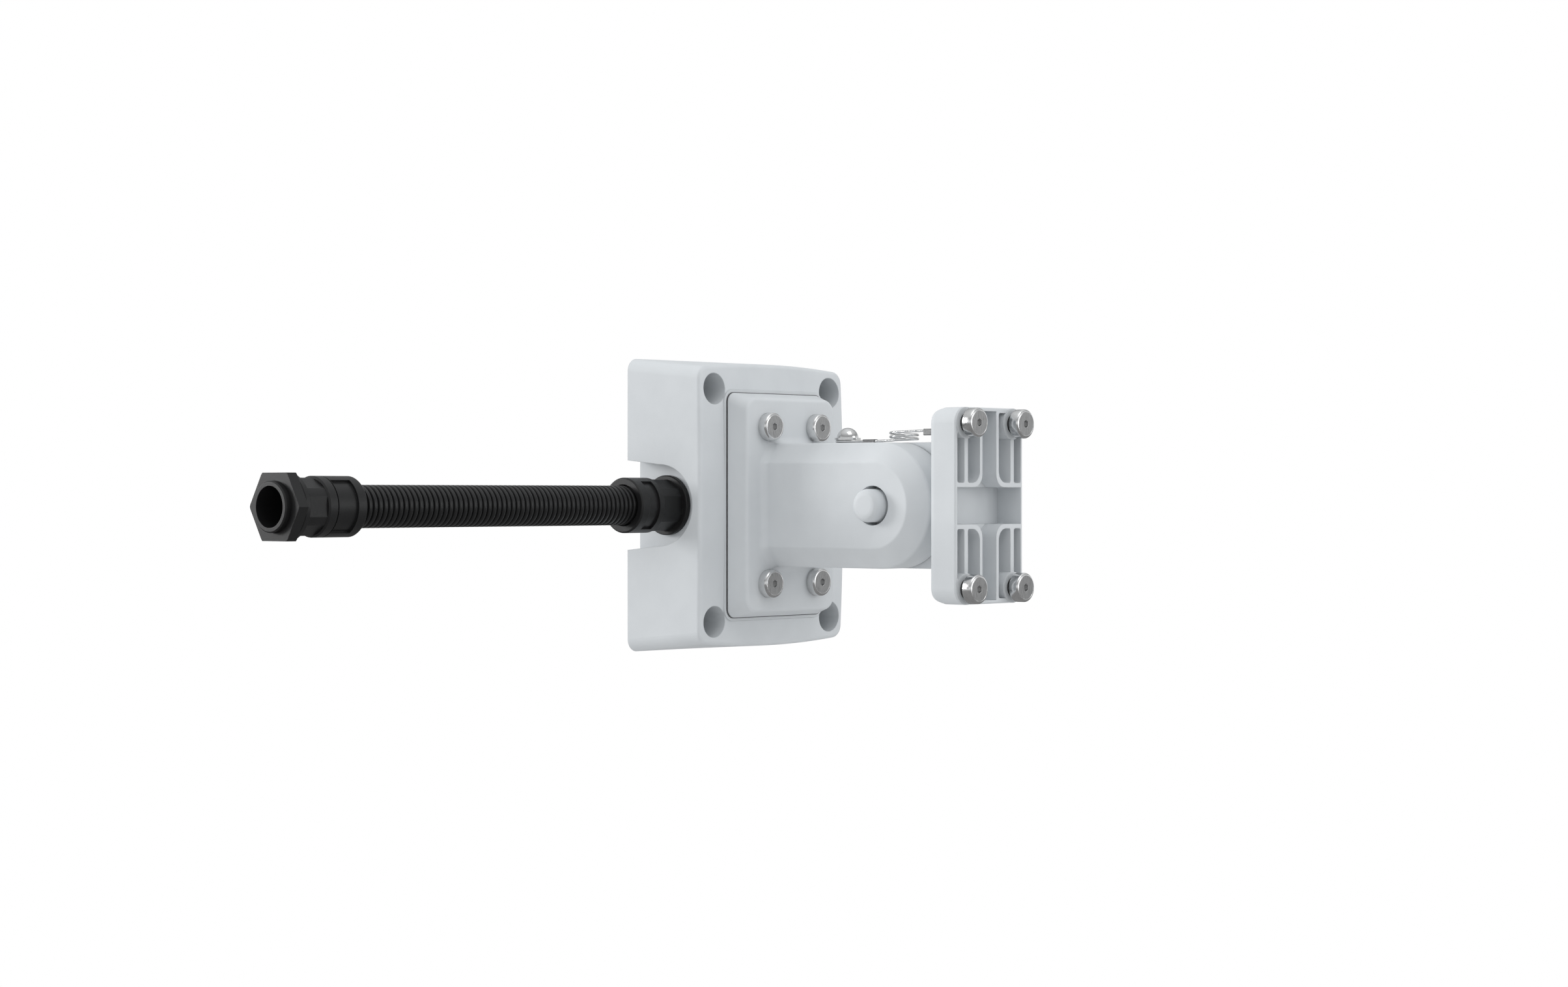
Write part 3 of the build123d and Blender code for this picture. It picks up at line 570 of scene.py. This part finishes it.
def rounded_outline(half_width, half_height, corner, steps=8):
    points = []
    for cx, cz, start in ((1, 1, 0), (-1, 1, 90), (-1, -1, 180), (1, -1, 270)):
        for step in range(steps + 1):
            a = math.radians(start + 90 * step / steps)
            points.append((cx * (half_width - corner) + corner * math.cos(a),
                           cz * (half_height - corner) + corner * math.sin(a)))
    return points


def gasket_lip():
    """The thin rubber edge that shows all round the flange."""
    thick, clear, tuck = 0.00076, 0.00002, 0.0006
    back, front = FLANGE_BACK + thick, FLANGE_BACK + clear
    outer = rounded_outline(FLANGE_HALF_WIDTH + LIP, FLANGE_HALF_HEIGHT + LIP, FLANGE_CORNER + LIP)
    inner = rounded_outline(FLANGE_HALF_WIDTH - tuck, FLANGE_HALF_HEIGHT - tuck, FLANGE_CORNER - 0.0004)
    verts = []
    for outline, y in ((outer, back), (outer, front), (inner, front), (inner, back)):
        verts += [(x, y, z) for x, z in outline]
    mesh = closed_mesh("gasket_lip", verts, ring_faces(4, len(outer), wrap=True), smooth=False)
    new_object("gasket_lip", mesh, "gasket_rubber", "wall_side")


snap_cap("box_fitting_cap", WALL_MOUTH, 1, BOX_WINDOW, CAP_LENGTH)
corrugated_conduit(snap_cap("end_fitting_cap", END_MOUTH, -1, END_WINDOW, END_CAP_LENGTH))
tether()
screws()
gasket_lip()


# Stage and light
def floor_stage():
    mesh = bpy.data.meshes.new("floor")
    reach, depth = 12.0, -1.1
    corners = [(-reach, -reach, depth), (reach, -reach, depth), (reach, reach, depth), (-reach, reach, depth)]
    mesh.from_pydata(corners, [], [(0, 1, 2, 3)])
    obj = bpy.data.objects.new("floor", mesh)
    bpy.context.scene.collection.objects.link(obj)
    mat = bpy.data.materials.new("floor")
    mat.use_nodes = True
    nt = mat.node_tree
    bsdf = nt.nodes["Principled BSDF"]
    bsdf.inputs["Base Color"].default_value = (0.66, 0.66, 0.66, 1)
    bsdf.inputs["Roughness"].default_value = 0.9
    glow = nt.nodes.new("ShaderNodeEmission")
    glow.inputs["Color"].default_value = (1, 1, 1, 1)
    glow.inputs["Strength"].default_value = 1.0
    path = nt.nodes.new("ShaderNodeLightPath")
    dim = nt.nodes.new("ShaderNodeEmission")
    dim.inputs["Color"].default_value = (1, 1, 1, 1)
    dim.inputs["Strength"].default_value = 0.25
    mirrored = nt.nodes.new("ShaderNodeMixShader")
    nt.links.new(path.outputs["Is Glossy Ray"], mirrored.inputs["Fac"])
    nt.links.new(bsdf.outputs["BSDF"], mirrored.inputs[1])
    nt.links.new(dim.outputs["Emission"], mirrored.inputs[2])
    blend = nt.nodes.new("ShaderNodeMixShader")
    nt.links.new(path.outputs["Is Camera Ray"], blend.inputs["Fac"])
    nt.links.new(mirrored.outputs["Shader"], blend.inputs[1])
    nt.links.new(glow.outputs["Emission"], blend.inputs[2])
    nt.links.new(blend.outputs["Shader"], nt.nodes["Material Output"].inputs["Surface"])
    mesh.materials.append(mat)


floor_stage()


def area_light(name, place, target, side, power):
    data = bpy.data.lights.new(name, "AREA")
    data.shape = "SQUARE"
    data.size = side
    data.energy = power
    data.spread = math.pi
    obj = bpy.data.objects.new(name, data)
    bpy.context.scene.collection.objects.link(obj)
    obj.location = place
    obj.rotation_euler = (Vector(target) - Vector(place)).to_track_quat("-Z", "Y").to_euler()


area_light("key", (-0.4, -1.4, 2.4), (0, -0.1, 0), 1.8, 11)
area_light("left", (-1.6, 2.3, 0.7), (-0.06, -0.02, 0), 1.0, 41)
area_light("front", (0.9, -2.6, 0.4), (0, -0.1, 0), 1.4, 9)


def studio_world():
    """A pale room for soft light, a banded one for reflections and plain white behind the object."""
    world = bpy.data.worlds.new("world")
    bpy.context.scene.world = world
    world.use_nodes = True
    tree = world.node_tree
    room = tree.nodes["Background"]
    coords = tree.nodes.new("ShaderNodeTexCoord")
    split = tree.nodes.new("ShaderNodeSeparateXYZ")
    tree.links.new(coords.outputs["Generated"], split.inputs["Vector"])
    rise = tree.nodes.new("ShaderNodeMapRange")
    rise.inputs["From Min"].default_value = -1.0
    rise.inputs["From Max"].default_value = 1.0
    tree.links.new(split.outputs["Z"], rise.inputs["Value"])

    def ramp(stops, source):
        made = tree.nodes.new("ShaderNodeValToRGB")
        elements = made.color_ramp.elements
        elements[0].position = stops[0][0]
        elements[1].position = stops[-1][0]
        for position, level in stops[1:-1]:
            elements.new(position)
        for element, (position, level) in zip(elements, stops):
            element.color = (level * 0.985, level, level * 1.01, 1)
        tree.links.new(source, made.inputs["Fac"])
        return made

    soft = ramp([(0.0, 0.42), (0.5, 0.80), (1.0, 0.91)], rise.outputs["Result"])
    tree.links.new(soft.outputs["Color"], room.inputs["Color"])
    room.inputs["Strength"].default_value = 1.0
    banded = ramp([(0.0, 0.45), (0.36, 0.20), (0.47, 0.55), (0.56, 0.95), (0.68, 0.35), (1.0, 0.9)],
                  rise.outputs["Result"])
    mirror = tree.nodes.new("ShaderNodeBackground")
    tree.links.new(banded.outputs["Color"], mirror.inputs["Color"])
    mirror.inputs["Strength"].default_value = 1.0
    white = tree.nodes.new("ShaderNodeBackground")
    white.inputs["Color"].default_value = (1, 1, 1, 1)
    white.inputs["Strength"].default_value = 1.0
    rays = tree.nodes.new("ShaderNodeLightPath")
    glossy = tree.nodes.new("ShaderNodeMixShader")
    tree.links.new(rays.outputs["Is Glossy Ray"], glossy.inputs["Fac"])
    tree.links.new(room.outputs["Background"], glossy.inputs[1])
    tree.links.new(mirror.outputs["Background"], glossy.inputs[2])
    final = tree.nodes.new("ShaderNodeMixShader")
    tree.links.new(rays.outputs["Is Camera Ray"], final.inputs["Fac"])
    tree.links.new(glossy.outputs["Shader"], final.inputs[1])
    tree.links.new(white.outputs["Background"], final.inputs[2])
    tree.links.new(final.outputs["Shader"], tree.nodes["World Output"].inputs["Surface"])


studio_world()
